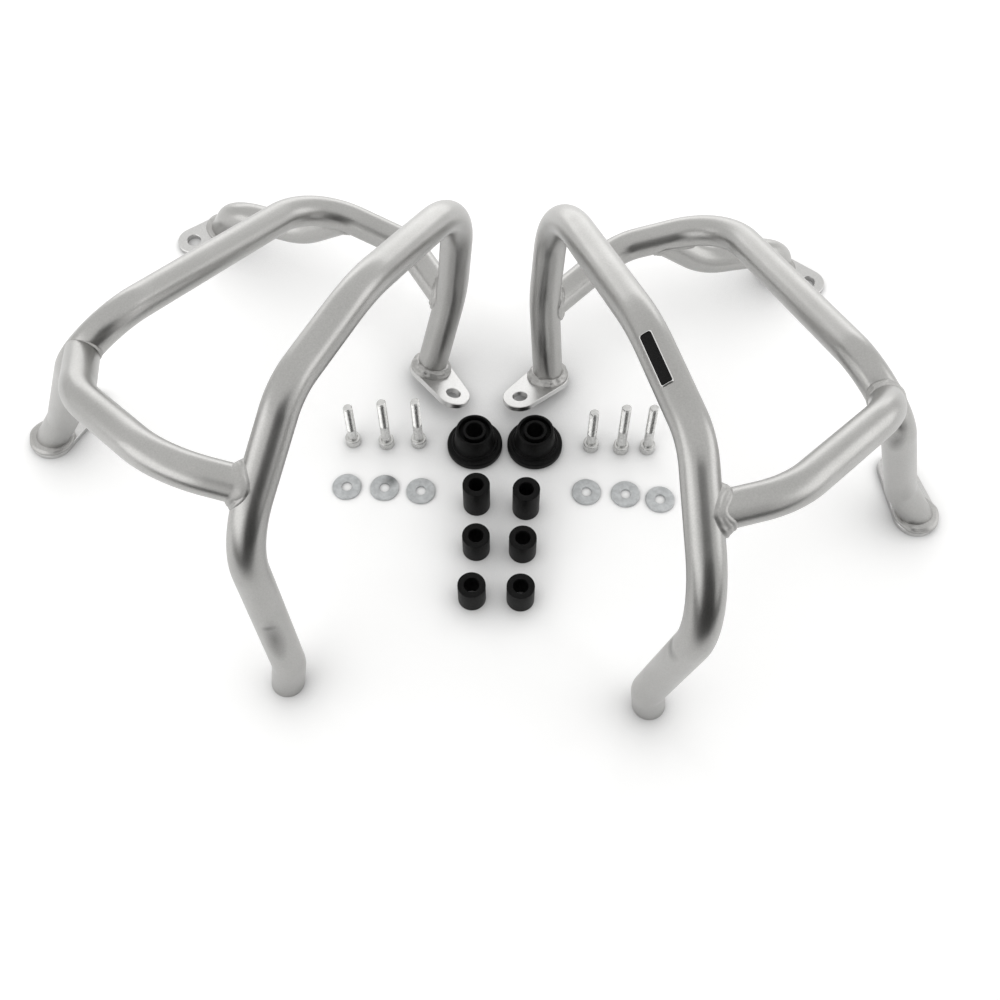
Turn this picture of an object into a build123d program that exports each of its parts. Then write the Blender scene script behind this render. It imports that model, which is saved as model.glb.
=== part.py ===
from build123d import *
import os
from math import cos, radians, sin, tan

# Motorcycle crash bars: a left and a right welded tube guard, with their loose fixings standing between them

# Tubes and welds, in millimetres
TUBE_OD = 25.0
TUBE_WALL = 2.0
ROOT_GAP = 0.1            # fit-up gap where a coped tube end or a bead meets a round tube
BEAD_RISE = 4.2           # how far a weld bead climbs up the tube end that it holds
BEAD_SPREAD = 5.0         # how far it spreads over the lug or tube that carries that end
BEAD_LIP = 0.8            # thickness left at its upper edge
BEAD_ROUND = 3.0          # how far its outer corner is stepped down between two tubes

# Heights of the bend points above the floor, the same on both bars
LEG_BEND_Z = 88.0
APEX_Z = 200.0
SHOULDER_Z = 271.0
HIP_Z = 270.0
KNEE_Z = 207.0
ANKLE_Z = 44.0
SIDE_BEND_Z = 239.0
SIDE_END_Z = 207.0
BACK_BEND_Z = 79.0
BACK_APEX_Z = 103.0
CORNER_Z = 205.0
OUTER_BEND_Z = 45.0
STAY_BEND_Z = 58.0
STAY_END_Z = 51.0

# Bend radii on the tube's centre line, in the order of the bend points
HOOP_RADII = (115.0, 80.0, 100.0, 50.0, 72.0, 43.0)
SIDE_RADII = (83.0, 60.0)
REAR_RADII = (40.0, 58.0, 43.0, 39.0)
STAY_RADII = (54.0, 42.0)

# Where the branches are welded, as distances along the centre line of the tube that carries them
REAR_ON_HOOP = 70.0
SIDE_ON_HOOP = 500.0
STAY_ON_REAR = 122.0

# Lug plates
LUG_THICKNESS = 5.0
LUG_HOLE = 12.0
LUG_END_RADIUS = 14.5     # round end about the hole
LUG_MARGIN = 5.5          # plate left standing round the tube
INNER_REACH = 35.0        # from the tube's centre to the hole's centre
OUTER_REACH = 44.0
REAR_REACH = 31.0

# Each bar as it stands: plan points of the bends, and the headings of its lugs in degrees from +X
BARS = {
    "left": {
        "seat": (-59, 124),
        "leg_lean": 22.0,
        "leg_heading": 49.0,
        "hoop": [(-30, 141), (-89, 6), (-131, -71), (-163, -147), (-154, -160), (-161, -158)],
        "side": [(-211, -107), (-283, -34)],
        "rear": [(-77, 201), (-159, 230), (-290, 14), (-353, 51), (-375, 57)],
        "stay": [(-171, 235), (-234, 261), (-253, 284)],
        "side_on_rear": 412.0,
        "inner_heading": -58.0,
        "outer_heading": 55.0,
        "rear_heading": 207.0,
    },
    "right": {
        "seat": (41, 116),
        "leg_lean": 17.0,
        "leg_heading": 102.0,
        "hoop": [(41, 142), (91, -24), (118, -108), (128, -201), (107, -181), (112, -176)],
        "side": [(179, -128), (258, -48)],
        "rear": [(101, 199), (185, 206), (266, -33), (314, -14), (337, -16)],
        "stay": [(174, 203), (241, 220), (250, 237)],
        "side_on_rear": 421.0,
        "inner_heading": -132.0,
        "outer_heading": 103.0,
        "rear_heading": -30.0,
    },
}

# Badge plate on the right hoop: a thin curved plate with a raised rim and a bare field
BADGE_AT = 400.0          # distance along the hoop
BADGE_ROLL = 30.0         # turned this far from the top of the tube towards the other bar
BADGE_LENGTH = 40.0
BADGE_WIDTH = 9.0
BADGE_THICKNESS = 1.2
BADGE_RIM = 0.8
BADGE_RECESS = 0.4
BADGE_CORNER = 1.5

# Socket-head cap screws, standing on their heads
SCREW_D = 8.0
SCREW_HEAD_D = 13.0
SCREW_HEAD_H = 8.0
SCREW_TIP_CHAMFER = 1.0
HEAD_CHAMFER = 0.6
SOCKET_FLATS = 6.0
SOCKET_DEPTH = 4.0
SHORT_SCREW = 45.0
LONG_SCREW = 55.0
SHORT_SCREW_SPOTS = [(-123, 56), (76, 51)]
LONG_SCREW_SPOTS = [(-95, 54), (-68, 55), (101, 49), (123, 49)]

# Wide washers
WASHER_OD = 24.0
WASHER_BORE = 8.4
WASHER_T = 2.0
WASHER_SPOTS = [(-126, 12), (-95, 11), (-65, 8), (71, 7), (103, 5), (131, 0)]

# Spacer sleeves
SPACER_OD = 22.0
SPACER_BORE = 12.0
SPACER_EDGE = 0.5
LONG_SPACER = 33.0
SHORT_SPACER = 24.0
LONG_SPACER_SPOTS = [(-19, -4), (21, -8)]
SHORT_SPACER_SPOTS = [(-19, -45), (-22, -88), (18, -47), (16, -89)]

# Flanged bushes
BUSH_HEIGHT = 27.0
BUSH_FLANGE_D = 46.0
BUSH_FLANGE_H = 8.0
BUSH_FLANGE_EDGE = 2.5
BUSH_STEP_D = 38.0
BUSH_STEP_H = 2.5
BUSH_BOSS_D = 34.0
BUSH_TOP_D = 30.0
BUSH_LIP = 2.0            # ring left outside the groove at the top
BUSH_CORE_D = 19.0
BUSH_BORE = 14.0
BUSH_GROOVE = 6.0
BUSH_SPOTS = [(-21, 51), (29, 51)]

TUBE_R = TUBE_OD / 2
LUG_ROOT_RADIUS = TUBE_R + LUG_MARGIN
FLOOR = Plane.XY
LUG_TOP = Plane.XY.offset(LUG_THICKNESS)
OVERRUN = TUBE_OD         # spare length swept past a plane before the end is cut off along it
DEEP = 2 * TUBE_OD        # depth of the block that cuts off such an end


def raised(plan, heights):
    """Plan points lifted to their heights."""
    return [Vector(x, y, z) for (x, y), z in zip(plan, heights)]


def past(points, length):
    """The same points with the last one pushed on by a length."""
    step = (points[-1] - points[-2]).normalized()
    return points[:-1] + [points[-1] + step * length]


def bent(points, radii):
    """Centre line of a bent tube: straight runs joined by tangent arcs."""
    return FilletPolyline(*points, radius=radii).wire()


def rod(path, radius):
    """Solid round bar along a centre line."""
    return sweep(Plane(path @ 0, z_dir=path % 0) * Circle(radius), path=path)


def pipe(path):
    """Tube along a centre line, open at both ends."""
    return rod(path, TUBE_R) - rod(path, TUBE_R - TUBE_WALL)


def below(plane, centre):
    """Block under a level plane, wide enough to cut off one tube end."""
    block = Box(2 * DEEP, 2 * DEEP, DEEP, align=(Align.CENTER, Align.CENTER, Align.MAX))
    return Pos(centre.X, centre.Y, plane.origin.Z) * block


def at_length(path, length):
    """Point of a centre line at a distance from its start."""
    return path.position_at(length, position_mode=PositionMode.LENGTH)


def centre_lines(bar):
    """Centre lines of the four tubes of a bar, each branch starting on the line of the tube that carries it."""
    lean = radians(bar["leg_lean"])
    seat_z = LUG_ROOT_RADIUS * sin(lean) + LUG_THICKNESS * cos(lean)
    seat = Vector(*bar["seat"], seat_z)
    shift = Vector((LEG_BEND_Z - seat_z) * tan(lean), 0, 0).rotate(Axis.Z, bar["leg_heading"])
    leg_bend = Vector(seat.X + shift.X, seat.Y + shift.Y, LEG_BEND_Z)

    hoop_z = (APEX_Z, SHOULDER_Z, HIP_Z, KNEE_Z, ANKLE_Z, 0)
    hoop = bent(past([seat, leg_bend] + raised(bar["hoop"], hoop_z), OVERRUN), HOOP_RADII)

    rear_z = (BACK_BEND_Z, BACK_APEX_Z, CORNER_Z, OUTER_BEND_Z, LUG_THICKNESS)
    rear_points = [at_length(hoop, REAR_ON_HOOP)] + raised(bar["rear"], rear_z)
    rear = bent(past(rear_points, OVERRUN), REAR_RADII)

    side_points = raised(bar["side"], (SIDE_BEND_Z, SIDE_END_Z))
    side_start = at_length(hoop, SIDE_ON_HOOP)
    side_end = at_length(rear, bar["side_on_rear"])
    side = bent([side_start] + side_points + [side_end], SIDE_RADII)

    stay_points = raised(bar["stay"], (STAY_BEND_Z, STAY_END_Z, LUG_THICKNESS))
    stay = bent(past([at_length(rear, STAY_ON_REAR)] + stay_points, OVERRUN), STAY_RADII)
    return {"hoop": hoop, "rear": rear, "side": side, "stay": stay}


def lug(plane, reach):
    """Plate below a plane, round about the tube at the plane's origin and about the hole along its x axis."""
    root = Circle(LUG_ROOT_RADIUS)
    tip = Pos(reach, 0) * Circle(LUG_END_RADIUS)
    outline = make_hull([root.edge(), tip.edge()])
    hole = Pos(reach, 0) * Circle(LUG_HOLE / 2)
    return extrude(plane * (outline - hole), -LUG_THICKNESS)


def level_plane(point, heading):
    """Level plane on top of a lug, with its x axis along a heading."""
    return Plane((point[0], point[1], LUG_THICKNESS), x_dir=Vector(1, 0, 0).rotate(Axis.Z, heading))


def leg_plane(path, heading):
    """Plane square to the start of a centre line, with its x axis as near as it can be to a heading."""
    along = path % 0
    level = Vector(1, 0, 0).rotate(Axis.Z, heading)
    return Plane(path @ 0, x_dir=level - along * level.dot(along), z_dir=along)


def lug_bead(plane, axis, clear):
    """Fillet weld round a tube that stands on a lug: a ring that narrows upwards."""
    slope = plane.z_dir.dot(axis)
    stretch = 1 / abs(slope)
    flat = axis - plane.z_dir * slope
    if flat.length > TUBE_WALL / TUBE_OD:
        plane = Plane(plane.origin, x_dir=flat, z_dir=plane.z_dir)
    foot = plane * Ellipse(TUBE_R * stretch + BEAD_SPREAD, TUBE_R + BEAD_SPREAD)
    top = plane.offset(BEAD_RISE) * Ellipse(TUBE_R * stretch + BEAD_LIP, TUBE_R + BEAD_LIP)
    return loft([foot.face(), top.face()]) - clear


def branch_bead(carrier, branch, start):
    """Weld round a branch and outside both tubes, laid in three passes that step its outer corner down."""
    origin = branch @ 0 if start else branch @ 1
    along = branch % 0 if start else (branch % 1) * -1
    root = Plane(origin - along * BEAD_RISE, z_dir=along)
    passes = []
    for lower, closer in ((0, 1), (0.3, 0.3), (1, 0)):
        sleeve = extrude(root * Circle(TUBE_R + BEAD_SPREAD - closer * BEAD_ROUND), 2 * TUBE_OD)
        passes.append(rod(carrier, TUBE_R + BEAD_RISE - lower * BEAD_ROUND) & sleeve)
    pad = passes[0] + passes[1] + passes[2]
    return pad - (rod(carrier, TUBE_R + ROOT_GAP) + rod(branch, TUBE_R + ROOT_GAP))


def together(pieces):
    """One node of several separate solids."""
    return Compound(children=[solid for piece in pieces for solid in piece.solids()])


def build_bar(bar):
    """All pieces of one bar, by name."""
    lines = centre_lines(bar)
    clear = {name: rod(path, TUBE_R + ROOT_GAP) for name, path in lines.items()}
    inner = leg_plane(lines["hoop"], bar["inner_heading"])
    outer = level_plane(bar["rear"][-1], bar["outer_heading"])
    rear = level_plane(bar["stay"][-1], bar["rear_heading"])

    lug_welds = [
        lug_bead(inner, lines["hoop"] % 0, clear["hoop"]),
        lug_bead(outer, lines["rear"] % 1, clear["rear"]),
        lug_bead(rear, lines["stay"] % 1, clear["stay"]),
    ]
    tube_welds = [
        branch_bead(lines["hoop"], lines["rear"], True),
        branch_bead(lines["hoop"], lines["side"], True),
        branch_bead(lines["rear"], lines["side"], False),
        branch_bead(lines["rear"], lines["stay"], True),
    ]
    return {
        "main_hoop": pipe(lines["hoop"]) - below(FLOOR, lines["hoop"] @ 1),
        "rear_tube": pipe(lines["rear"]) - clear["hoop"] - below(LUG_TOP, lines["rear"] @ 1),
        "side_tube": pipe(lines["side"]) - clear["hoop"] - clear["rear"],
        "rear_stay": pipe(lines["stay"]) - clear["rear"] - below(LUG_TOP, lines["stay"] @ 1),
        "inner_lug": lug(inner, INNER_REACH),
        "outer_lug": lug(outer, OUTER_REACH),
        "rear_lug": lug(rear, REAR_REACH),
        "lug_welds": together(lug_welds),
        "tube_welds": together(tube_welds),
    }


def badge(path):
    """Curved badge plate seated on a tube, with a raised rim round a bare field."""
    along = path.tangent_at(BADGE_AT, position_mode=PositionMode.LENGTH)
    up = Vector(0, 0, 1).rotate(Axis((0, 0, 0), along), BADGE_ROLL)
    facing = up - along * up.dot(along)
    seat = Plane(at_length(path, BADGE_AT), x_dir=along, z_dir=facing)
    bar_end = Plane(seat.origin - along * BADGE_LENGTH, z_dir=along)

    def shell(outside, inside):
        return extrude(bar_end * (Circle(outside) - Circle(inside)), 2 * BADGE_LENGTH)

    def block(inset):
        flat = RectangleRounded(BADGE_LENGTH - 2 * inset, BADGE_WIDTH - 2 * inset, BADGE_CORNER)
        return extrude(seat * flat, TUBE_OD)

    plate = shell(TUBE_R + BADGE_THICKNESS, TUBE_R) & block(0)
    field = shell(TUBE_R + TUBE_OD, TUBE_R + BADGE_THICKNESS - BADGE_RECESS) & block(BADGE_RIM)
    return plate - field


def screw(length):
    """Socket-head cap screw standing on its head, with a hex socket underneath."""
    head = Cylinder(SCREW_HEAD_D / 2, SCREW_HEAD_H, align=(Align.CENTER, Align.CENTER, Align.MIN))
    head = chamfer(head.edges().group_by(Axis.Z)[0], HEAD_CHAMFER)
    shank = Cylinder(SCREW_D / 2, length, align=(Align.CENTER, Align.CENTER, Align.MIN))
    shank = chamfer(shank.edges().group_by(Axis.Z)[-1], SCREW_TIP_CHAMFER)
    socket = extrude(RegularPolygon(SOCKET_FLATS / 2, 6, major_radius=False), SOCKET_DEPTH)
    return head + Pos(0, 0, SCREW_HEAD_H) * shank - socket


def washer():
    """Wide flat washer."""
    return extrude(Circle(WASHER_OD / 2) - Circle(WASHER_BORE / 2), WASHER_T)


def spacer(height):
    """Sleeve with its rims broken."""
    sleeve = extrude(Circle(SPACER_OD / 2) - Circle(SPACER_BORE / 2), height)
    return chamfer(sleeve.edges().filter_by(GeomType.CIRCLE), SPACER_EDGE)


def bush():
    """Flanged bush: round flange, step, tapered boss and a core tube standing in a ring groove."""
    step_top = BUSH_FLANGE_H + BUSH_STEP_H
    groove_r = BUSH_TOP_D / 2 - BUSH_LIP
    profile = Polyline(
        (BUSH_BORE / 2, 0),
        (BUSH_FLANGE_D / 2, 0),
        (BUSH_FLANGE_D / 2, BUSH_FLANGE_H),
        (BUSH_STEP_D / 2, BUSH_FLANGE_H),
        (BUSH_STEP_D / 2, step_top),
        (BUSH_BOSS_D / 2, step_top),
        (BUSH_TOP_D / 2, BUSH_HEIGHT),
        (groove_r, BUSH_HEIGHT),
        (groove_r, BUSH_HEIGHT - BUSH_GROOVE),
        (BUSH_CORE_D / 2, BUSH_HEIGHT - BUSH_GROOVE),
        (BUSH_CORE_D / 2, BUSH_HEIGHT),
        (BUSH_BORE / 2, BUSH_HEIGHT),
        close=True,
    )
    body = revolve(Plane.XZ * make_face(profile), Axis.Z)
    rim = [e for e in body.edges().filter_by(GeomType.CIRCLE) if abs(e.radius - BUSH_FLANGE_D / 2) < ROOT_GAP]
    ledge = (BUSH_FLANGE_D - BUSH_STEP_D) / 2
    return fillet(rim, min(BUSH_FLANGE_EDGE, 0.7 * ledge, 0.4 * BUSH_FLANGE_H))


def group(piece, spots):
    """Copies of a loose piece at their places on the floor."""
    return together([Pos(x, y) * piece for x, y in spots])


def build():
    """Every node of the set, by name, standing on the floor with the origin under the middle."""
    nodes = {}
    for side, bar in BARS.items():
        for name, piece in build_bar(bar).items():
            nodes[f"{side}_{name}"] = piece
    nodes["right_badge"] = badge(centre_lines(BARS["right"])["hoop"])
    nodes["short_screws"] = group(screw(SHORT_SCREW), SHORT_SCREW_SPOTS)
    nodes["long_screws"] = group(screw(LONG_SCREW), LONG_SCREW_SPOTS)
    nodes["washers"] = group(washer(), WASHER_SPOTS)
    nodes["long_spacers"] = group(spacer(LONG_SPACER), LONG_SPACER_SPOTS)
    nodes["short_spacers"] = group(spacer(SHORT_SPACER), SHORT_SPACER_SPOTS)
    nodes["flanged_bushes"] = group(bush(), BUSH_SPOTS)

    box = Compound(children=[Compound(piece.solids()) for piece in nodes.values()]).bounding_box()
    middle = Pos(-box.center().X, -box.center().Y, -box.min.Z)
    return {name: together([middle * piece]) for name, piece in nodes.items()}


os.makedirs("parts", exist_ok=True)
for node, piece in build().items():
    export_step(piece, f"parts/{node}.step")
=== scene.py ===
import bpy
from math import acos, atan2, ceil, cos, exp, pi, radians, sin, tan
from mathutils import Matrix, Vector, noise


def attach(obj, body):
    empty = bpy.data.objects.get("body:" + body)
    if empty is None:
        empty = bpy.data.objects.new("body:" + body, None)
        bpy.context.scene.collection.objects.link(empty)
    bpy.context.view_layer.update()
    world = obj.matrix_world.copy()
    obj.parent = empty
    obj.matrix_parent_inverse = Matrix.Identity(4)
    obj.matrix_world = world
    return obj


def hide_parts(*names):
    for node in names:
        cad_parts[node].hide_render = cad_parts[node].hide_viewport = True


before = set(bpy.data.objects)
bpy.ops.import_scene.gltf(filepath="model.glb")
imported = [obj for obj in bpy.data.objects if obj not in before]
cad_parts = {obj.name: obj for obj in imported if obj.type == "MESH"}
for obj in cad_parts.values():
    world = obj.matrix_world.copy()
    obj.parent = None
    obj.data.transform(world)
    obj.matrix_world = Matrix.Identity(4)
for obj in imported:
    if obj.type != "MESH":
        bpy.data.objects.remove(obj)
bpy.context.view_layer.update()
scene = bpy.context.scene

# Millimetres to metres, and the shift from the places below to the part's frame
MM = 0.001
SHIFT = Vector((18.9225, -47.1782, 0.0))

# Sizes of the guards in millimetres, as in the solids
TUBE_R = 12.5
WALL = 2.0
LUG_T = 5.0
LUG_ROOT_R = 18.0
LUG_END_R = 14.5
LUG_HOLE_R = 6.0
LUG_REACH = {"inner": 35, "outer": 44, "rear": 31}
HOOP_Z = (88, 200, 271, 270, 207, 44, 0)
HOOP_RADII = (115, 80, 100, 50, 72, 43)
SIDE_Z = (239, 207)
SIDE_RADII = (83, 60)
REAR_Z = (79, 103, 205, 45, LUG_T)
REAR_RADII = (40, 58, 43, 39)
STAY_Z = (58, 51, LUG_T)
STAY_RADII = (54, 42)
REAR_ON_HOOP = 70
SIDE_ON_HOOP = 500
STAY_ON_REAR = 122
BADGE_ON_HOOP = 400
BADGE_LENGTH = 40.0
BADGE_WIDTH = 9.0

# Fixings: sizes in millimetres and places on the floor
SHORT_SCREW_LENGTH = 45.0
LONG_SCREW_LENGTH = 55.0
SHORT_THREAD_LENGTH = 32.0
LONG_THREAD_LENGTH = 34.0
LONG_SPACER_HEIGHT = 33.0
SHORT_SPACER_HEIGHT = 24.0
SHORT_SCREWS = [(-123, 56), (76, 51)]
LONG_SCREWS = [(-95, 54), (-68, 55), (101, 49), (123, 49)]
WASHERS = [(-126, 12), (-95, 11), (-65, 8), (71, 7), (103, 5), (131, 0)]
LONG_SPACERS = [(-19, -4), (21, -8)]
SHORT_SPACERS = [(-19, -45), (-22, -88), (18, -47), (16, -89)]
BUSHES = [(-21, 51), (29, 51)]

# Fineness of the meshes: steps in millimetres, and points round a form
LINE_STEP = 2.5
THREAD_STEP = 0.16
TUBE_POINTS = 56
COPE_POINTS = 200
FOOT_POINTS = 180
BEAD_COLUMNS = 16
SCREW_POINTS = 88
RING_POINTS = 96
BUSH_POINTS = 128


# Materials

# Colour sockets of the Mix node
MIX_A = 6
MIX_B = 7
MIX_RESULT = 2


class Shader:
    """A principled material with a few helpers for its texture nodes."""

    def __init__(self, name, color, metallic, roughness, specular=0.5):
        self.material = bpy.data.materials.new(name)
        self.material.use_nodes = True
        self.material.diffuse_color = (*color, 1)
        self.tree = self.material.node_tree
        self.bsdf = self.tree.nodes["Principled BSDF"]
        self.bsdf.inputs["Base Color"].default_value = (*color, 1)
        self.bsdf.inputs["Metallic"].default_value = metallic
        self.bsdf.inputs["Roughness"].default_value = roughness
        self.bsdf.inputs["Specular IOR Level"].default_value = specular
        self.place = self.tree.nodes.new("ShaderNodeTexCoord").outputs["Object"]

    def link(self, a, b):
        self.tree.links.new(a, b)

    def noise(self, scale, detail, rough=0.5, stretch=None):
        node = self.tree.nodes.new("ShaderNodeTexNoise")
        node.inputs["Scale"].default_value = scale
        node.inputs["Detail"].default_value = detail
        node.inputs["Roughness"].default_value = rough
        where = self.place
        if stretch:
            mapping = self.tree.nodes.new("ShaderNodeMapping")
            mapping.inputs["Scale"].default_value = stretch
            self.link(self.place, mapping.inputs["Vector"])
            where = mapping.outputs["Vector"]
        self.link(where, node.inputs["Vector"])
        return node.outputs["Fac"]

    def ramp(self, value, stops):
        """Colour that runs between two stops, each a place and a colour."""
        node = self.tree.nodes.new("ShaderNodeValToRGB")
        for element, (spot, color) in zip(node.color_ramp.elements, stops):
            element.position = spot
            element.color = (*color, 1)
        self.link(value, node.inputs["Fac"])
        return node.outputs["Color"]

    def multiply(self, factor, tone, shade):
        """Multiply a colour by a shade, which is an output or a plain colour, as far as the factor says."""
        node = self.tree.nodes.new("ShaderNodeMix")
        node.data_type = "RGBA"
        node.blend_type = "MULTIPLY"
        if isinstance(factor, float):
            node.inputs["Factor"].default_value = factor
        else:
            self.link(factor, node.inputs["Factor"])
        self.link(tone, node.inputs[MIX_A])
        if isinstance(shade, tuple):
            node.inputs[MIX_B].default_value = (*shade, 1)
        else:
            self.link(shade, node.inputs[MIX_B])
        return node.outputs[MIX_RESULT]

    def smudge_and_shade(self, tone, centre, radii, dark):
        """Darken a colour softly round a spot, whose centre and radii are in millimetres; used for painted
        shade in the tube creases and for a real smudge on a washer.
        """
        mapping = self.tree.nodes.new("ShaderNodeMapping")
        mapping.vector_type = "TEXTURE"
        mapping.inputs["Location"].default_value = (Vector(centre) + SHIFT) * MM
        mapping.inputs["Scale"].default_value = Vector(radii) * MM
        self.link(self.place, mapping.inputs["Vector"])
        spot = self.tree.nodes.new("ShaderNodeTexGradient")
        spot.gradient_type = "SPHERICAL"
        self.link(mapping.outputs["Vector"], spot.inputs["Vector"])
        return self.multiply(spot.outputs["Fac"], tone, (dark, dark, dark))

    def color(self, value):
        self.link(value, self.bsdf.inputs["Base Color"])

    def roughness(self, value, low, high):
        """Let a 0 to 1 value run the roughness from low to high."""
        node = self.tree.nodes.new("ShaderNodeMapRange")
        node.inputs["To Min"].default_value = low
        node.inputs["To Max"].default_value = high
        self.link(value, node.inputs["Value"])
        self.link(node.outputs["Result"], self.bsdf.inputs["Roughness"])

    def bump(self, height, strength, distance):
        node = self.tree.nodes.new("ShaderNodeBump")
        node.inputs["Strength"].default_value = strength
        node.inputs["Distance"].default_value = distance
        self.link(height, node.inputs["Height"])
        self.link(node.outputs["Normal"], self.bsdf.inputs["Normal"])


# Shades of the blasted grain, and how many times paler the speckle on black is
GRAIN_SHADE = (0.84, 0.84, 0.84)
NO_SHADE = (1.0, 1.0, 1.0)
SPECKLE_GAIN = 3.2


def silver(name, low, high, roughness, smudges_and_shade=()):
    """Satin silver: a fine blasted grain over slow drifts in tone, with painted shade in its creases."""
    shader = Shader(name, high, 1.0, roughness)
    drift = shader.noise(scale=14.0, detail=3.0)
    tone = shader.ramp(drift, [(0.3, low), (0.7, high)])
    grain = shader.noise(scale=900.0, detail=3.0, rough=0.7)
    speck = shader.ramp(grain, [(0.3, GRAIN_SHADE), (0.7, NO_SHADE)])
    tone = shader.multiply(1.0, tone, speck)
    # Each spot darkens the colour: painted shade in a crease
    for smudge_and_shade in smudges_and_shade:
        tone = shader.smudge_and_shade(tone, *smudge_and_shade)
    shader.color(tone)
    shader.roughness(shader.noise(scale=40.0, detail=4.0), low=roughness - 0.06, high=roughness + 0.06)
    shader.bump(grain, strength=0.15, distance=0.0002)
    return shader.material


def zinc(name, low, high, roughness, smudges_and_shade=()):
    """Zinc plate: cool grey with cloudy patches."""
    shader = Shader(name, high, 1.0, roughness)
    patches = shader.noise(scale=220.0, detail=4.0, rough=0.6)
    tone = shader.ramp(patches, [(0.35, low), (0.65, high)])
    for smudge_and_shade in smudges_and_shade:
        tone = shader.smudge_and_shade(tone, *smudge_and_shade)
    shader.color(tone)
    shader.roughness(shader.noise(scale=500.0, detail=3.0), low=roughness - 0.08, high=roughness + 0.1)
    shader.bump(shader.noise(scale=900.0, detail=3.0), strength=0.1, distance=0.0002)
    return shader.material


def black(name, tone, roughness, grain, stretch=None):
    """Matte black with a fine pale speckle."""
    shader = Shader(name, tone, 0.0, roughness, specular=0.09)
    speckle = shader.noise(grain, detail=3.0, rough=0.7, stretch=stretch)
    pale = tuple(SPECKLE_GAIN * c for c in tone)
    shader.color(shader.ramp(speckle, [(0.42, tone), (0.75, pale)]))
    shader.roughness(shader.noise(scale=300.0, detail=2.0), low=roughness - 0.08, high=roughness + 0.08)
    shader.bump(speckle, strength=0.25, distance=0.0003)
    return shader.material


# Darker marks, painted shade in the tube creases and a real smudge on a washer: centre and radii in
# millimetres, and the shade at the centre
PAINTED_CREASE_SHADE = [
    ((-155, -168, 102), (8, 14, 32), 0.42),
    ((-157, -166, 119), (6, 10, 5), 0.5),
    ((110, -198, 157), (5, 14, 8), 0.6),
    ((279, -38, 152), (7, 9, 17), 0.5),
]
WASHER_MARKS = [((-90, 18, 2), (8, 9, 9), 0.35)]

TUBE = silver("satin_silver", (0.415, 0.412, 0.402), (0.465, 0.461, 0.451), 0.32, PAINTED_CREASE_SHADE)
PLATE = silver("plate_silver", (0.60, 0.597, 0.59), (0.69, 0.687, 0.68), 0.34)
WELD = silver("weld_silver", (0.43, 0.427, 0.417), (0.505, 0.50, 0.49), 0.48)
SCREW = zinc("zinc_screw", (0.58, 0.58, 0.57), (0.68, 0.68, 0.67), 0.28)
WASHER = zinc("zinc_washer", (0.45, 0.463, 0.47), (0.58, 0.595, 0.603), 0.34, WASHER_MARKS)
SPACER = black("black_spacer", (0.004, 0.004, 0.004), 0.38, 1400.0, (1, 1, 0.25))
BUSH = black("black_bush", (0.004, 0.004, 0.004), 0.42, 1100.0)
FIELD = black("badge_black", (0.005, 0.005, 0.005), 0.3, 1500.0)
RIM = silver("badge_rim", (0.80, 0.795, 0.785), (0.88, 0.875, 0.865), 0.28)


# Mesh helpers, all in millimetres

def add_object(name, parts, materials, sharp=35):
    """One mesh object from parts, each a list of points, a list of faces and a material number.

    Edges that turn by more than sharp, in degrees, stay sharp.
    """
    points = []
    faces = []
    slots = []
    for part_points, part_faces, slot in parts:
        base = len(points)
        points += [(p + SHIFT) * MM for p in part_points]
        faces += [[base + i for i in f] for f in part_faces]
        slots += [slot] * len(part_faces)
    mesh = bpy.data.meshes.new(name)
    mesh.from_pydata(points, [], faces)
    for material in materials:
        mesh.materials.append(material)
    mesh.polygons.foreach_set("material_index", slots)
    mesh.shade_smooth()
    mesh.set_sharp_from_angle(angle=radians(sharp))
    obj = bpy.data.objects.new(name, mesh)
    scene.collection.objects.link(obj)
    return obj


def dress(obj, node):
    """Put a finished piece in the place of its solid."""
    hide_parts(node)
    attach(obj, "root")


def grid_faces(rows, columns, close_rows=False, close_columns=True):
    """Faces of a grid of points stored row by row."""
    faces = []
    for i in range(rows if close_rows else rows - 1):
        for j in range(columns if close_columns else columns - 1):
            a = i * columns + j
            b = i * columns + (j + 1) % columns
            c = (i + 1) % rows * columns + (j + 1) % columns
            d = (i + 1) % rows * columns + j
            faces.append((a, b, c, d))
    return faces


def lathe(profile, centre, segments, warp=None):
    """Closed ring of revolution about a vertical axis, from a closed profile of radius and height."""
    points = []
    for r, z in profile:
        for j in range(segments):
            angle = 2 * pi * j / segments
            radius = r + warp(r, angle, z) if warp else r
            points.append(Vector((centre[0] + radius * cos(angle), centre[1] + radius * sin(angle), z)))
    return points, grid_faces(len(profile), segments, close_rows=True), 0


# Centre lines

# Length by which a line runs on past its foot, where the tube is cut level
RUN_PAST = 25


def raised(plan, heights):
    """Points from their places in plan and their heights."""
    return [Vector((x, y, z)) for (x, y), z in zip(plan, heights)]


def past(points, length):
    """The same points with the last one pushed on."""
    return points[:-1] + [points[-1] + (points[-1] - points[-2]).normalized() * length]


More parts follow.
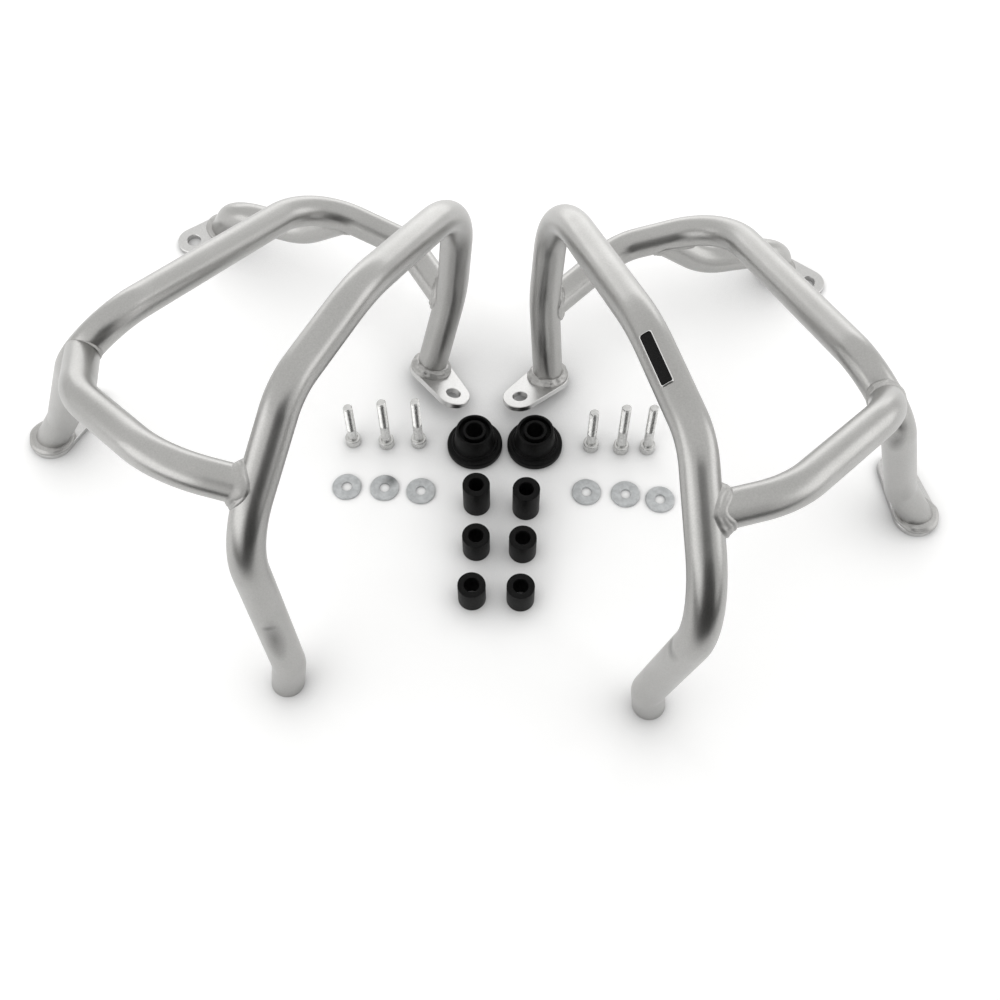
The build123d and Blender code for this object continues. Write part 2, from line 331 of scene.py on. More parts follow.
class Path:
    """Straight runs joined by tangent arcs, kept as closely spaced points."""

    def __init__(self, corners, radii):
        raw = [corners[0]]
        for before, corner, after, radius in zip(corners, corners[1:], corners[2:], radii):
            a = (before - corner).normalized()
            b = (after - corner).normalized()
            turn = pi - a.angle(b)
            first = a * radius * tan(turn / 2)
            last = b * radius * tan(turn / 2)
            centre = (a + b).normalized() * (radius / cos(turn / 2))
            count = max(3, ceil(radius * turn / LINE_STEP))
            for k in range(count + 1):
                raw.append(corner + centre + (first - centre).slerp(last - centre, k / count) * radius)
        raw.append(corners[-1])
        self.points = [raw[0]]
        for p, q in zip(raw, raw[1:]):
            pieces = ceil((q - p).length / LINE_STEP)
            self.points += [p.lerp(q, k / pieces) for k in range(1, pieces + 1)]
        self.lengths = [0.0]
        for p, q in zip(self.points, self.points[1:]):
            self.lengths.append(self.lengths[-1] + (q - p).length)

    def at(self, length):
        """Point and direction at a distance from the start."""
        i = 0
        while i < len(self.lengths) - 2 and self.lengths[i + 1] < length:
            i += 1
        p, q = self.points[i], self.points[i + 1]
        share = (length - self.lengths[i]) / (self.lengths[i + 1] - self.lengths[i])
        return p.lerp(q, share), (q - p).normalized()

    def near(self, spot, reach):
        """The line's segments within reach of a spot."""
        pairs = zip(self.points, self.points[1:])
        return [(p, q - p) for p, q in pairs if (p - spot).length < reach]


def closest(segments, point):
    """Point of some segments that lies closest to a point."""
    best = None
    for p, step in segments:
        share = min(1, max(0, (point - p).dot(step) / step.length_squared))
        spot = p + step * share
        if best is None or (point - spot).length < (point - best).length:
            best = spot
    return best


def leg_start(bar):
    """Seat of the inner leg on its lug, and the first bend above it."""
    lean = radians(bar["lean"])
    seat_z = LUG_ROOT_R * sin(lean) + LUG_T * cos(lean)
    run = (HOOP_Z[0] - seat_z) * tan(lean)
    heading = radians(bar["heading"])
    x, y = bar["seat"]
    return [Vector((x, y, seat_z)), Vector((x + run * cos(heading), y + run * sin(heading), HOOP_Z[0]))]


def centre_lines(bar):
    """Centre lines of a bar's four tubes."""
    hoop = Path(past(leg_start(bar) + raised(bar["hoop"], HOOP_Z[1:]), RUN_PAST), HOOP_RADII)
    rear = Path(past([hoop.at(REAR_ON_HOOP)[0]] + raised(bar["rear"], REAR_Z), RUN_PAST), REAR_RADII)
    side_end = rear.at(bar["side_on_rear"])[0]
    side = Path([hoop.at(SIDE_ON_HOOP)[0]] + raised(bar["side"], SIDE_Z) + [side_end], SIDE_RADII)
    stay = Path(past([rear.at(STAY_ON_REAR)[0]] + raised(bar["stay"], STAY_Z), RUN_PAST), STAY_RADII)
    return {"main_hoop": hoop, "rear_tube": rear, "side_tube": side, "rear_stay": stay}


# Tubes

# Where a dent has faded out, the slope that counts as going down, and the rings of bore at an open end
DENT_END = 3
DOWNWARD = -0.3
BORE_RINGS = 29


def rings(path, radius, floor, dents):
    """Rings of points along a line, cut off along a level plane, with dents pressed in."""
    points = path.points
    normal = (points[1] - points[0]).orthogonal()
    out = []
    for i, p in enumerate(points):
        along = (points[min(i + 1, len(points) - 1)] - points[max(i - 1, 0)]).normalized()
        normal = (normal - along * normal.dot(along)).normalized()
        binormal = along.cross(normal)
        ring = []
        sunk = 0
        for j in range(TUBE_POINTS):
            angle = 2 * pi * j / TUBE_POINTS
            facing = normal * cos(angle) + binormal * sin(angle)
            point = p + facing * radius
            for centre, reach, depth in dents:
                apart = (point - centre).length / reach
                if apart < DENT_END:
                    point = point - facing * depth * exp(-apart * apart)
            if floor is not None and along.z < DOWNWARD and point.z < floor:
                point = point - along * ((point.z - floor) / along.z)
                sunk += 1
            ring.append(point)
        out.append(ring)
        if sunk == TUBE_POINTS:
            break
    return out


def tube(path, floor, dents, open_end):
    """Skin of a bent tube, with the wall and a length of the bore at an open end."""
    skin = rings(path, TUBE_R, floor, dents)
    if open_end:
        bore = rings(path, TUBE_R - WALL, floor, ())
        skin += bore[:-BORE_RINGS - 1:-1]
    return [p for ring in skin for p in ring], grid_faces(len(skin), TUBE_POINTS), 0


# Welds

# Slopes of the edges of a weld's section, and the lean of a rounded one
PLATEAU_SLOPE = 5
FLARE_RISE = 1.6
FLARE_FALL = 7
ROLL_LEAN = 1.3

# Unevenness: shares of the size, rates per millimetre, angles in radians, heights in millimetres
SIZE_SHARE = 0.3
BRANCH_SIZE_RATE = 0.1
FOOT_SIZE_RATE = 0.11
LUMP_SHARE = 0.4
LUMP_RATE = 0.13
RIDGE_DRIFT = 3.0
RIDGE_DRIFT_RATE = 0.1
RIDGE_HEIGHT = 0.1
RIDGE_TURN = 6 * pi
ROUGH_RATE = 0.22
UNDERCUT = 0.35

# Search for the cope: reach round the joint, longest cope, number of halvings, rounds of smoothing
JOINT_REACH = 60
COPE_LIMIT = 50.0
HALVINGS = 16
COPE_ROUNDS = 120
EDGE_ROUNDS = 2

# Size on the far side of a crotch and its gain on the near side, and depth and width of a slit
CROTCH_FAR = 0.08
CROTCH_GAIN = 1.1
SLIT_DEPTH = 0.8
SLIT_WIDTH = 1.3


def smoothed(values, rounds):
    """Values of a closed line, each drawn towards its neighbours."""
    count = len(values)
    for _ in range(rounds):
        values = [(values[i - 1] + values[i] * 2 + values[(i + 1) % count]) / 4 for i in range(count)]
    return values


def eased(edge):
    """Rise from 0 to 1 with a soft start and end."""
    return edge * edge * (3 - 2 * edge)


def plateau(t):
    """Flat band with quick edges."""
    return eased(min(1, PLATEAU_SLOPE * t, PLATEAU_SLOPE * (1 - t)))


def roll(t):
    """Rounded band."""
    return sin(pi * t ** ROLL_LEAN)


def flare(t):
    """Band that grows out of the branch and ends in a quick step."""
    return eased(min(1, FLARE_RISE * t, FLARE_FALL * (1 - t)))


def weld(upper, lower, facings, sizes, lift, shape, coarse, seed, clear=None):
    """Weld between two closed lines of points: fused at both edges, uneven, with fine ridges along it."""
    points = []
    for top, foot, facing, size in zip(upper, lower, facings, sizes):
        lump = size * (1 + LUMP_SHARE * noise.noise(foot * LUMP_RATE + Vector((seed, 0, 0))))
        drift = RIDGE_DRIFT * noise.noise(foot * RIDGE_DRIFT_RATE + Vector((0, 0, seed)))
        for j in range(BEAD_COLUMNS + 1):
            t = j / BEAD_COLUMNS
            body = shape(t)
            spot = top.lerp(foot, t)
            ridge = RIDGE_HEIGHT * size * sin(RIDGE_TURN * t + drift)
            rough = coarse * size * noise.noise(spot * ROUGH_RATE + Vector((0, seed, 0)))
            spot += facing * (body * (lift * lump + ridge + rough) - UNDERCUT * (1 - body) ** 4)
            points.append(clear(spot, body * lump) if clear else spot)
    return points, grid_faces(len(upper), BEAD_COLUMNS + 1, close_rows=True, close_columns=False), 0


def branch_weld(carrier, path, from_start, rise, spread, lift, proud, level, shape, coarse, seed,
                crotch=None):
    """Weld where a coped tube end meets the tube that carries it.

    Its upper edge follows the cope or, as level goes to 1, runs square round the branch. With a
    crotch direction it thins out on the far side.
    """
    ends = path.points[:2] if from_start else path.points[:-3:-1]
    origin = ends[0]
    along = (ends[1] - ends[0]).normalized()
    carried = carrier.near(origin, JOINT_REACH)
    branch = path.near(origin, JOINT_REACH)
    normal = along.orthogonal().normalized()
    binormal = along.cross(normal)
    facings = []
    cope = []
    for k in range(COPE_POINTS):
        angle = 2 * pi * k / COPE_POINTS
        facing = normal * cos(angle) + binormal * sin(angle)
        low, high = 0.0, COPE_LIMIT
        for _ in range(HALVINGS):
            middle = (low + high) / 2
            point = origin + along * middle + facing * TUBE_R
            if (point - closest(carried, point)).length < TUBE_R:
                low = middle
            else:
                high = middle
        cope.append(low)
        facings.append(facing)
    cope = [max(a, b) for a, b in zip(cope, smoothed(cope, COPE_ROUNDS))]
    top = max(cope)

    def clear(spot, share):
        """Push a point out of both tubes."""
        for axis in (carried, branch):
            away = spot - closest(axis, spot)
            if away.length < TUBE_R + proud * share:
                spot = spot + away.normalized() * (TUBE_R + proud * share - away.length)
        return spot

    upper = []
    lower = []
    outward = []
    sizes = []
    for reach, facing in zip(cope, facings):
        p = origin + along * reach + facing * TUBE_R
        size = 1 + SIZE_SHARE * noise.noise(p * BRANCH_SIZE_RATE + Vector((seed, seed, 0)))
        if crotch:
            size *= CROTCH_FAR + CROTCH_GAIN * max(0, facing.dot(crotch)) ** 2
        foot = p + facing * spread * size
        away = foot - closest(carried, foot)
        lower.append(foot + away.normalized() * (TUBE_R - away.length))
        upper.append(p + along * (rise * size + level * (top - reach)))
        outward.append((facing + (p - closest(carried, p)).normalized()).normalized())
        sizes.append(size)
    upper = smoothed(upper, EDGE_ROUNDS)
    lower = smoothed(lower, EDGE_ROUNDS)
    return weld(upper, lower, outward, sizes, lift, shape, coarse, seed, clear)


def lug_weld(origin, plane_z, axis, rise, spread, lift, shape, coarse, seed, slit=None):
    """Weld round a tube that stands on a plate, with a slit where it starts and ends."""
    if axis.dot(plane_z) < 0:
        axis = -axis
    normal = axis.orthogonal().normalized()
    binormal = axis.cross(normal)
    upper = []
    lower = []
    outward = []
    sizes = []
    for k in range(FOOT_POINTS):
        angle = 2 * pi * k / FOOT_POINTS
        facing = normal * cos(angle) + binormal * sin(angle)
        foot = facing * TUBE_R
        p = origin + foot - axis * (foot.dot(plane_z) / axis.dot(plane_z))
        size = 1 + SIZE_SHARE * noise.noise(p * FOOT_SIZE_RATE + Vector((0, seed, seed)))
        if slit:
            size *= 1 - SLIT_DEPTH * exp(-((facing.angle(slit) * TUBE_R / SLIT_WIDTH) ** 2))
        flat = (facing - plane_z * facing.dot(plane_z)).normalized()
        upper.append(p + axis * rise * size)
        lower.append(p + flat * spread * size)
        outward.append((flat + plane_z).normalized())
        sizes.append(size)
    return weld(upper, lower, outward, sizes, lift, shape, coarse, seed)


# Lug plates

# Width of the broken edges, and steps along a flank and round the two ends
LUG_EDGE = 0.5
FLANK_STEPS = 12
TIP_STEPS = 20
ROOT_STEPS = 60


def lug(origin, x_dir, z_dir, reach):
    """Plate with two round ends, a drilled hole and broken edges, its top at the origin."""
    y_dir = z_dir.cross(x_dir)
    contact = acos((LUG_ROOT_R - LUG_END_R) / reach)

    def outline(inset):
        tip = LUG_END_R - inset
        root = LUG_ROOT_R - inset
        near = (root * cos(contact), root * sin(contact))
        far = (reach + tip * cos(contact), tip * sin(contact))
        flank = []
        for k in range(1, FLANK_STEPS):
            x = far[0] + (near[0] - far[0]) * k / FLANK_STEPS
            y = far[1] + (near[1] - far[1]) * k / FLANK_STEPS
            flank.append((x, y))
        tip_angles = [contact * (k / TIP_STEPS - 1) for k in range(2 * TIP_STEPS + 1)]
        root_angles = [contact + 2 * (pi - contact) * k / ROOT_STEPS for k in range(ROOT_STEPS + 1)]
        spots = [(reach + tip * cos(a), tip * sin(a)) for a in tip_angles]
        spots += flank
        spots += [(root * cos(a), root * sin(a)) for a in root_angles]
        return spots + [(x, -y) for x, y in reversed(flank)]

    def hole(radius):
        angles = [atan2(y, x - reach) for x, y in outline(0)]
        return [(reach + radius * cos(a), radius * sin(a)) for a in angles]

    levels = [
        (hole(LUG_HOLE_R + LUG_EDGE), 0),
        (outline(LUG_EDGE), 0),
        (outline(0), -LUG_EDGE),
        (outline(0), LUG_EDGE - LUG_T),
        (outline(LUG_EDGE), -LUG_T),
        (hole(LUG_HOLE_R + LUG_EDGE), -LUG_T),
        (hole(LUG_HOLE_R), LUG_EDGE - LUG_T),
        (hole(LUG_HOLE_R), -LUG_EDGE),
    ]
    points = [origin + x_dir * x + y_dir * y + z_dir * z for spots, z in levels for x, y in spots]
    return points, grid_faces(len(levels), len(levels[0][0]), close_rows=True), 0


def headed(heading):
    """Level direction at an angle in degrees."""
    turn = radians(heading)
    return Vector((cos(turn), sin(turn), 0))


def level_lug(spot, heading):
    """Origin and axes of a plate that lies on the floor."""
    return Vector((*spot, LUG_T)), headed(heading), Vector((0, 0, 1))


def leg_lug(seat, axis, heading):
    """Origin and axes of a plate that is square to the inner leg."""
    level = headed(heading)
    return seat, (level - axis * level.dot(axis)).normalized(), axis


# The two bars

# Plan points in millimetres and headings in degrees
# Feet: rise, spread, lift, shape, coarseness, seed and direction of the slit
# Joints: rise, spread, lift, proud, level, shape, coarseness, seed and direction of the crotch
BARS = {
    "left": {
        "seat": (-59, 124), "lean": 22, "heading": 49,
        "hoop": [(-30, 141), (-89, 6), (-131, -71), (-163, -147), (-154, -160), (-161, -158)],
        "side": [(-211, -107), (-283, -34)],
        "rear": [(-77, 201), (-159, 230), (-290, 14), (-353, 51), (-375, 57)],
        "stay": [(-171, 235), (-234, 261), (-253, 284)],
        "side_on_rear": 412, "lugs": {"inner": -58, "outer": 55, "rear": 207},
        "feet": {
            "inner": (7.0, 5.4, 0.8, plateau, 1.0, 1.0),
            "outer": (5.4, 5.0, 1.4, roll, 0.2, 2.0, Vector((1.0, -0.1, 0))),
            "rear": (4.0, 4.6, 0.8, roll, 0.3, 3.0),
        },
        "joints": {
            "rear": (5.5, 5.0, 0.7, 0.8, 0.0, plateau, 0.8, 4.0),
            "side": (5.0, 5.0, -0.2, 0.8, 0.45, flare, 0.3, 5.0),
            "corner": (5.0, 5.0, 1.0, 0.9, 0.0, plateau, 1.2, 6.0, Vector((0.8, -0.5, 0.3))),
            "stay": (4.5, 4.0, 0.3, 0.5, 0.0, plateau, 0.4, 7.0),
        },
    },
    "right": {
        "seat": (41, 116), "lean": 17, "heading": 102,
        "hoop": [(41, 142), (91, -24), (118, -108), (128, -201), (107, -181), (112, -176)],
        "side": [(179, -128), (258, -48)],
        "rear": [(101, 199), (185, 206), (266, -33), (314, -14), (337, -16)],
        "stay": [(174, 203), (241, 220), (250, 237)],
        "side_on_rear": 421, "lugs": {"inner": -132, "outer": 103, "rear": -30},
        "feet": {
            "inner": (7.0, 5.4, 0.8, plateau, 1.0, 8.0),
            "outer": (5.4, 5.0, 1.4, roll, 0.2, 9.0, Vector((0.97, -0.26, 0))),
            "rear": (4.0, 4.6, 0.8, roll, 0.3, 10.0),
        },
        "joints": {
            "rear": (5.5, 5.0, 0.7, 0.8, 0.0, plateau, 0.8, 11.0),
            "side": (7.5, 5.0, 0.4, 0.7, 0.15, plateau, 0.5, 12.0),
            "corner": (5.5, 3.4, 0.3, 0.8, 0.0, plateau, 0.7, 13.0),
            "stay": (4.5, 4.0, 0.3, 0.5, 0.0, plateau, 0.4, 14.0),
        },
    },
}


def pressed(first, last, count, reach, depth):
    """Dents in a row along a crease."""
    return [(Vector(first).lerp(Vector(last), k / (count - 1)), reach, depth) for k in range(count)]


DENTS = {
    "left_main_hoop": pressed((-156, -166, 118), (-153, -169, 84), count=8, reach=5.0, depth=0.8),
    "right_main_hoop": pressed((110, -194, 162), (111, -202, 152), count=4, reach=3.0, depth=0.4),
    "right_rear_tube": pressed((274, -37, 160), (283, -38, 144), count=6, reach=3.0, depth=0.5),
}
FLOORS = {"main_hoop": 0.0, "rear_tube": LUG_T, "side_tube": None, "rear_stay": LUG_T}

for side, bar in BARS.items():
    lines = centre_lines(bar)
    hoop, rear, stay = lines["main_hoop"], lines["rear_tube"], lines["rear_stay"]
    for piece, path in lines.items():
        node = f"{side}_{piece}"
        skin = tube(path, FLOORS[piece], DENTS.get(node, ()), piece == "main_hoop")
        dress(add_object(f"{node}_skin", [skin], [TUBE]), node)

    leg = (hoop.points[1] - hoop.points[0]).normalized()
    plates = {
        "inner": leg_lug(hoop.points[0], leg, bar["lugs"]["inner"]),
        "outer": level_lug(bar["rear"][-1], bar["lugs"]["outer"]),
        "rear": level_lug(bar["stay"][-1], bar["lugs"]["rear"]),
    }
    axes = {
        "inner": leg,
        "outer": (rear.points[-1] - rear.points[-2]).normalized(),
        "rear": (stay.points[-1] - stay.points[-2]).normalized(),
    }
    feet = []
    for place, plate in plates.items():
        node = f"{side}_{place}_lug"
        shape = lug(*plate, LUG_REACH[place])
        dress(add_object(f"{node}_plate", [shape], [PLATE], sharp=25), node)
        feet.append(lug_weld(plate[0], plate[2], axes[place], *bar["feet"][place]))
    dress(add_object(f"{side}_lug_beads", feet, [WELD], sharp=60), f"{side}_lug_welds")
    joints = [
        branch_weld(hoop, rear, True, *bar["joints"]["rear"]),
        branch_weld(hoop, lines["side_tube"], True, *bar["joints"]["side"]),
        branch_weld(rear, lines["side_tube"], False, *bar["joints"]["corner"]),
        branch_weld(rear, stay, True, *bar["joints"]["stay"]),
    ]
    dress(add_object(f"{side}_tube_beads", joints, [WELD], sharp=60), f"{side}_tube_welds")


# Badge plate on the right hoop, with a raised rim round a bare field

BADGE_TILT = radians(30)
BADGE_CORNER = 1.8
BADGE_RIM = 1.0
BADGE_LIFT = 1.15
BADGE_SLOPE = 0.35
FIELD_DEPTH = 0.45
FIELD_SLOPE = 0.25
BADGE_ROWS = 161
BADGE_COLUMNS = 61


def badge(path):
    """Field and rim of a plate that is bent to the tube, with rounded corners."""
    middle, along = path.at(BADGE_ON_HOOP)
    up = Vector((0, 0, 1))
    up = (up - along * up.dot(along)).normalized()
    across = along.cross(up)
    points = []
    rim_points = set()
    for i in range(BADGE_ROWS):
        for j in range(BADGE_COLUMNS):
            u = BADGE_LENGTH * (i / (BADGE_ROWS - 1) - 0.5)
            v = BADGE_WIDTH * (j / (BADGE_COLUMNS - 1) - 0.5)
            past_u = max(0.0, abs(u) - (BADGE_LENGTH / 2 - BADGE_CORNER))
            past_v = max(0.0, abs(v) - (BADGE_WIDTH / 2 - BADGE_CORNER))
            if past_u and past_v:
                far = (past_u ** 2 + past_v ** 2) ** 0.5
                if far > BADGE_CORNER:
                    u -= (past_u - past_u * BADGE_CORNER / far) * (1 if u > 0 else -1)
                    v -= (past_v - past_v * BADGE_CORNER / far) * (1 if v > 0 else -1)
                edge = BADGE_CORNER - min(far, BADGE_CORNER)
            else:
                edge = min(BADGE_LENGTH / 2 - abs(u), BADGE_WIDTH / 2 - abs(v))
            lift = BADGE_LIFT * min(1.0, edge / BADGE_SLOPE)
            if edge > BADGE_RIM:
                lift -= FIELD_DEPTH * min(1.0, (edge - BADGE_RIM) / FIELD_SLOPE)
            if edge < BADGE_RIM:
                rim_points.add(len(points))
            turn = v / TUBE_R + BADGE_TILT
            out = up * cos(turn) + across * sin(turn)
            points.append(middle + along * u + out * (TUBE_R + lift))
    field_faces = []
    rim_faces = []
    for face in grid_faces(BADGE_ROWS, BADGE_COLUMNS, close_columns=False):
        if sum(i in rim_points for i in face) > 2:
            rim_faces.append(face)
        else:
            field_faces.append(face)
    return [(points, field_faces, 0), (points, rim_faces, 1)]


right_hoop = centre_lines(BARS["right"])["main_hoop"]
badge_plate = add_object("right_badge_plate", badge(right_hoop), [FIELD, RIM], sharp=30)
dress(badge_plate, "right_badge")


# Fixings, each turned from a profile of radius and height

# Screws: the knurled part of the head, and the radii and turns of the thread
HEAD_HEIGHT = 8.0
SOCKET_R = 3.2
KNURLS = 44
KNURL_DEPTH = 0.14
KNURL_INSET = 0.12
KNURL_MIN_R = 6.2
KNURL_LOW = 0.6
KNURL_HIGH = 7.0
THREAD_PITCH = 1.25
THREAD_DEPTH = 0.62
THREAD_MIN_R = 3.2
THREAD_MAX_R = 4.05
THREAD_START = 1.5
THREAD_END = 1.2

# Washers: the uneven rim, and the step in its seed from one to the next
WASHER_RIM_R = 10
WASHER_WAVE = 0.22
WASHER_WAVE_RATE = 2
WASHER_INSET = 0.12
WASHER_SEED_STEP = 3.7

# Bushes: rounding of the flange, and the radius at which it starts
FLANGE_ROUND = 2.5
FLANGE_FLAT_R = 20.5


def screw(spot, length, thread):
    """Cap screw standing on its head: knurled head, plain neck, rolled thread and a chamfered tip."""
    top = HEAD_HEIGHT + length
    neck = top - thread

    def shape(r, angle, z):
        """Knurling on the side of the head, and the thread beyond the neck."""
        if r > KNURL_MIN_R and KNURL_LOW < z < KNURL_HIGH:
            return KNURL_DEPTH * sin(KNURLS * angle) - KNURL_INSET
        if THREAD_MIN_R < r < THREAD_MAX_R and z > neck:
            start = min(1.0, (z - neck) / THREAD_START)
            wave = abs(((z / THREAD_PITCH - angle / (2 * pi)) % 1.0) * 2 - 1)
            return -THREAD_DEPTH * start * wave
        return 0.0

    profile = [(0.01, 4.0), (SOCKET_R, 4.0), (SOCKET_R, 0.25), (SOCKET_R + 0.25, 0), (5.9, 0), (6.4, 0.35)]
    profile += [(6.5, z) for z in (0.7, 2, 4, 6, 6.9)]
    profile += [(6.45, 7.2), (6.1, 7.8), (5.6, 8.0), (4.3, 8.0), (4.0, 8.4), (3.95, 9.0), (3.95, neck)]
    z = neck
    while z < top - THREAD_END:
        z += THREAD_STEP
        profile.append((4.0, z))
    profile += [(3.9, top - 1.0), (3.1, top - 0.15), (2.9, top), (0.01, top)]
    return lathe(profile, spot, SCREW_POINTS, shape)


def washer(spot, seed):
    """Stamped washer with a rolled upper edge and a slightly uneven rim."""
    profile = [(4.2, 0.15), (4.35, 0), (11.8, 0), (12.0, 0.25), (12.0, 1.35), (11.85, 1.75), (11.5, 1.97)]
    profile += [(11.0, 2.0), (8.0, 2.0), (5.0, 2.0), (4.6, 1.95), (4.3, 1.75), (4.2, 1.4)]

    def uneven(r, angle, z):
        if r < WASHER_RIM_R:
            return 0.0
        place = Vector((WASHER_WAVE_RATE * cos(angle), WASHER_WAVE_RATE * sin(angle), seed))
        return WASHER_WAVE * noise.noise(place) - WASHER_INSET

    return lathe(profile, spot, RING_POINTS, uneven)


def spacer(spot, height):
    """Turned sleeve with broken rims."""
    profile = [(6.0, 0.6), (6.5, 0), (10.5, 0), (11.0, 0.5), (11.0, height - 0.6), (10.85, height - 0.2)]
    profile += [(10.5, height), (6.6, height), (6.15, height - 0.2), (6.0, height - 0.6)]
    return lathe(profile, spot, RING_POINTS)


def bush(spot):
    """Flanged bush with rounded steps and a core tube standing in a ring groove."""
    angles = [radians(a) for a in range(0, 91, 15)]
    quarter = [(FLANGE_ROUND * sin(a), FLANGE_ROUND * cos(a)) for a in angles]
    profile = [(7.0, 0.5), (7.5, 0)]
    profile += [(FLANGE_FLAT_R + s, FLANGE_ROUND - c) for s, c in quarter]
    profile += [(FLANGE_FLAT_R + c, 5.5 + s) for s, c in quarter]
    profile += [(19.6, 8.0), (19.0, 8.5), (19.0, 9.9), (18.5, 10.5), (17.4, 10.5), (16.9, 11.0)]
    profile += [(15.3, 25.8), (14.6, 26.8), (14.2, 27.0), (13.4, 27.0), (13.0, 26.6), (13.0, 21.0)]
    profile += [(9.5, 21.0), (9.5, 26.6), (9.1, 27.0), (7.5, 27.0), (7.0, 26.5)]
    return lathe(profile, spot, BUSH_POINTS)


def fixings(name, parts, material, node, sharp=35):
    """Like fixings as one piece."""
    dress(add_object(name, parts, [material], sharp), node)


short_screws = [screw(spot, SHORT_SCREW_LENGTH, SHORT_THREAD_LENGTH) for spot in SHORT_SCREWS]
long_screws = [screw(spot, LONG_SCREW_LENGTH, LONG_THREAD_LENGTH) for spot in LONG_SCREWS]
washers = [washer(spot, WASHER_SEED_STEP * i) for i, spot in enumerate(WASHERS)]
long_sleeves = [spacer(spot, LONG_SPACER_HEIGHT) for spot in LONG_SPACERS]
short_sleeves = [spacer(spot, SHORT_SPACER_HEIGHT) for spot in SHORT_SPACERS]
bushes = [bush(spot) for spot in BUSHES]
fixings("short_cap_screws", short_screws, SCREW, "short_screws")
fixings("long_cap_screws", long_screws, SCREW, "long_screws")
fixings("wide_washers", washers, WASHER, "washers")
fixings("long_sleeves", long_sleeves, SPACER, "long_spacers")
fixings("short_sleeves", short_sleeves, SPACER, "short_spacers")
fixings("bush_bodies", bushes, BUSH, "flanged_bushes", sharp=30)


# Floor: pale, white to the camera and to reflections, with the object's shadow, partly lit and partly
# painted shade

# Corners and reach of the painted shade in metres, stops of the painted shade, and where the glow fades in
# deep holes, which paints them dark
FLOOR_CORNERS = [(-1.3, -0.5, 0), (1.3, -0.5, 0), (1.3, 1.7, 0), (-1.3, 1.7, 0)]
PAINTED_SHADE_REACH = 0.09
PAINTED_SHADE_SAMPLES = 16
PAINTED_SHADE_STOPS = [(0.45, 0.42), (0.94, 0.97)]
GLOW = 0.17
GLOW_NONE = 0.1
GLOW_FULL = 0.35


def add_floor():
    """Floor with painted shade darkening its colour near the object, which glows a little, except in deep
    holes, where the fading glow is painted shade too.
    """
    mesh = bpy.data.meshes.new("floor")
    mesh.from_pydata(FLOOR_CORNERS, [], [(0, 1, 2, 3)])
    obj = bpy.data.objects.new("floor", mesh)
    scene.collection.objects.link(obj)
    material = bpy.data.materials.new("floor_white")
    material.use_nodes = True
    tree = material.node_tree
    tree.nodes.clear()

    def new(kind, **values):
        node = tree.nodes.new(kind)
        for key, value in values.items():
            setattr(node, key, value)
        return node

    path = new("ShaderNodeLightPath")
    seen = new("ShaderNodeMath", operation="MAXIMUM")
    either = new("ShaderNodeMath", operation="MAXIMUM")
    tree.links.new(path.outputs["Is Camera Ray"], seen.inputs[0])
    tree.links.new(path.outputs["Is Glossy Ray"], seen.inputs[1])
    tree.links.new(seen.outputs[0], either.inputs[0])
    tree.links.new(path.outputs["Is Transmission Ray"], either.inputs[1])

    # Ambient occlusion darkens the floor's colour near the object: painted shade
    near = new("ShaderNodeAmbientOcclusion", samples=PAINTED_SHADE_SAMPLES)
    near.inputs["Distance"].default_value = PAINTED_SHADE_REACH
    tone = new("ShaderNodeValToRGB")
    for element, (spot, grey) in zip(tone.color_ramp.elements, PAINTED_SHADE_STOPS):
        element.position = spot
        element.color = (grey, grey, grey, 1)
    tree.links.new(near.outputs["AO"], tone.inputs["Fac"])
    plain = new("ShaderNodeBsdfDiffuse")
    tree.links.new(tone.outputs["Color"], plain.inputs["Color"])

    glow = new("ShaderNodeEmission")
    strength = new("ShaderNodeMath", operation="MULTIPLY")
    strength.inputs[1].default_value = GLOW
    tree.links.new(either.outputs[0], strength.inputs[0])
    # The glow fades where the occlusion is deep: painted shade in holes
    hole_shade = new("ShaderNodeMapRange")
    hole_shade.inputs["From Min"].default_value = GLOW_NONE
    hole_shade.inputs["From Max"].default_value = GLOW_FULL
    tree.links.new(near.outputs["AO"], hole_shade.inputs["Value"])
    lit = new("ShaderNodeMath", operation="MULTIPLY")
    tree.links.new(strength.outputs[0], lit.inputs[0])
    tree.links.new(hole_shade.outputs["Result"], lit.inputs[1])
    tree.links.new(lit.outputs[0], glow.inputs["Strength"])

    total = new("ShaderNodeAddShader")
    tree.links.new(plain.outputs[0], total.inputs[0])
    tree.links.new(glow.outputs[0], total.inputs[1])
    out = new("ShaderNodeOutputMaterial")
    tree.links.new(total.outputs[0], out.inputs["Surface"])
    mesh.materials.append(material)


add_floor()


# Light

def softbox(name, place, target, width, height, power):
    """Large soft lamp that faces a target."""
    lamp = bpy.data.lights.new(name, "AREA")
    lamp.shape = "RECTANGLE"
    lamp.size = width
    lamp.size_y = height
    lamp.energy = power
    obj = bpy.data.objects.new(name, lamp)
    obj.location = place
    obj.rotation_euler = (Vector(target) - Vector(place)).to_track_quat("-Z", "Y").to_euler()
    scene.collection.objects.link(obj)


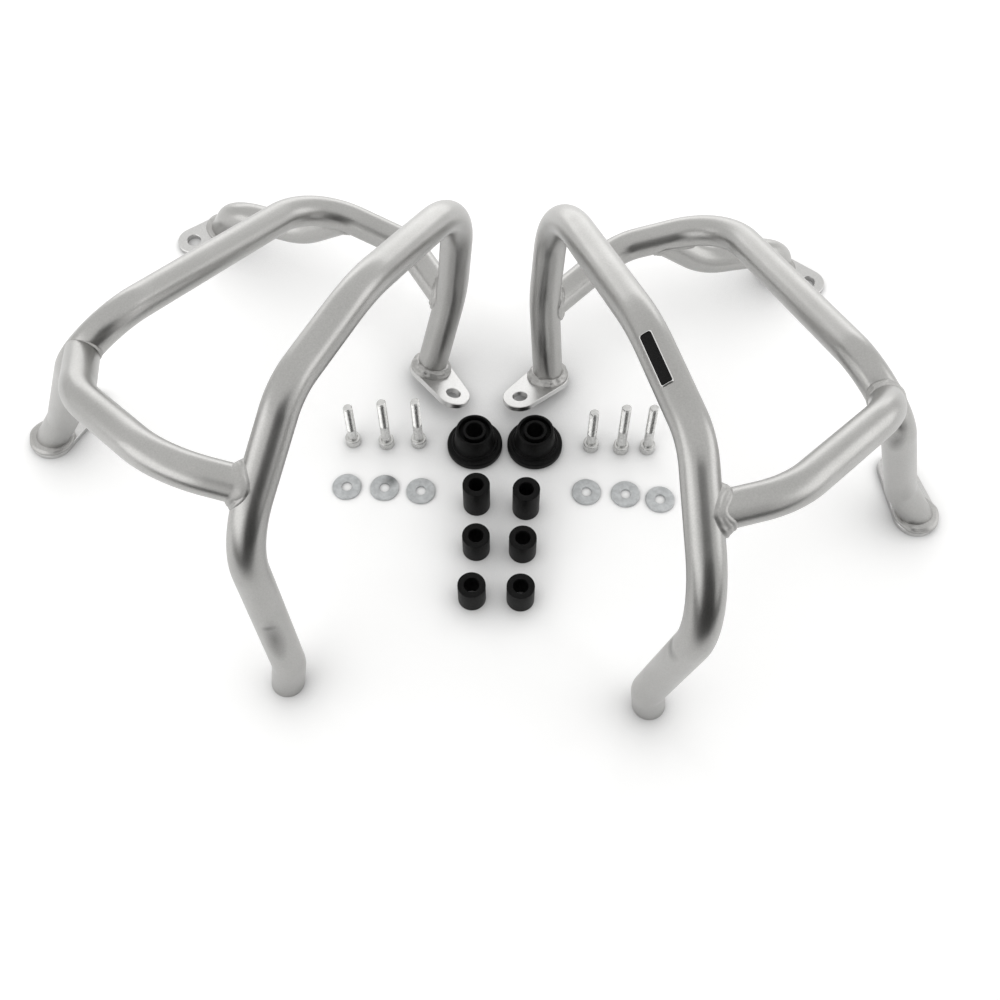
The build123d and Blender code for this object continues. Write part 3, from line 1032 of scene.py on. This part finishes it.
softbox("back_box", (0.0, 1.62, 0.3), (0, 0, 0.3), width=2.6, height=0.66, power=6.2)
softbox("left_box", (-1.5, -0.8, 0.6), (0, 0, 0.2), width=2.1, height=1.0, power=6.0)
softbox("right_box", (1.7, 0.0, 0.62), (0, 0, 0.2), width=1.5, height=0.9, power=3.8)

world = bpy.data.worlds.new("studio")
world.use_nodes = True
sky = world.node_tree.nodes["Background"]
sky.inputs["Color"].default_value = (1.0, 0.998, 0.99, 1)
sky.inputs["Strength"].default_value = 1.0
scene.world = world

CARD_GREY = (0.08, 0.08, 0.08, 1)
CARD_ROUGHNESS = 0.9


def dark_card(name, corners):
    """Dark card outside the picture, which keeps light off the tubes and isn't seen itself."""
    mesh = bpy.data.meshes.new(name)
    mesh.from_pydata(corners, [], [(0, 1, 2, 3)])
    obj = bpy.data.objects.new(name, mesh)
    obj.visible_camera = False
    scene.collection.objects.link(obj)
    material = bpy.data.materials.new(f"{name}_grey")
    material.use_nodes = True
    bsdf = material.node_tree.nodes["Principled BSDF"]
    bsdf.inputs["Base Color"].default_value = CARD_GREY
    bsdf.inputs["Roughness"].default_value = CARD_ROUGHNESS
    mesh.materials.append(material)


dark_card("flag", [(-0.4, -1.35, -0.4), (1.0, -1.35, -0.4), (1.0, -1.15, 1.7), (-0.4, -1.15, 1.7)])
dark_card("ground", [(-5, -5, -0.5), (5, -5, -0.5), (5, 5, -0.5), (-5, 5, -0.5)])


# Camera at the photograph's angle

CAMERA_PITCH = radians(61)
CAMERA_DISTANCE = 1.0656

lens = bpy.data.cameras.new("camera")
lens.sensor_fit = "HORIZONTAL"
lens.sensor_width = 36.0
lens.lens = 46.8
lens.clip_start = 0.01
camera = bpy.data.objects.new("camera", lens)
aim = Vector((SHIFT.x * MM, SHIFT.y * MM, 0))
camera.location = aim + Vector((0, -cos(CAMERA_PITCH), sin(CAMERA_PITCH))) * CAMERA_DISTANCE
camera.rotation_euler = (aim - camera.location).to_track_quat("-Z", "Y").to_euler()
scene.collection.objects.link(camera)
scene.camera = camera
scene.view_settings.view_transform = "Standard"
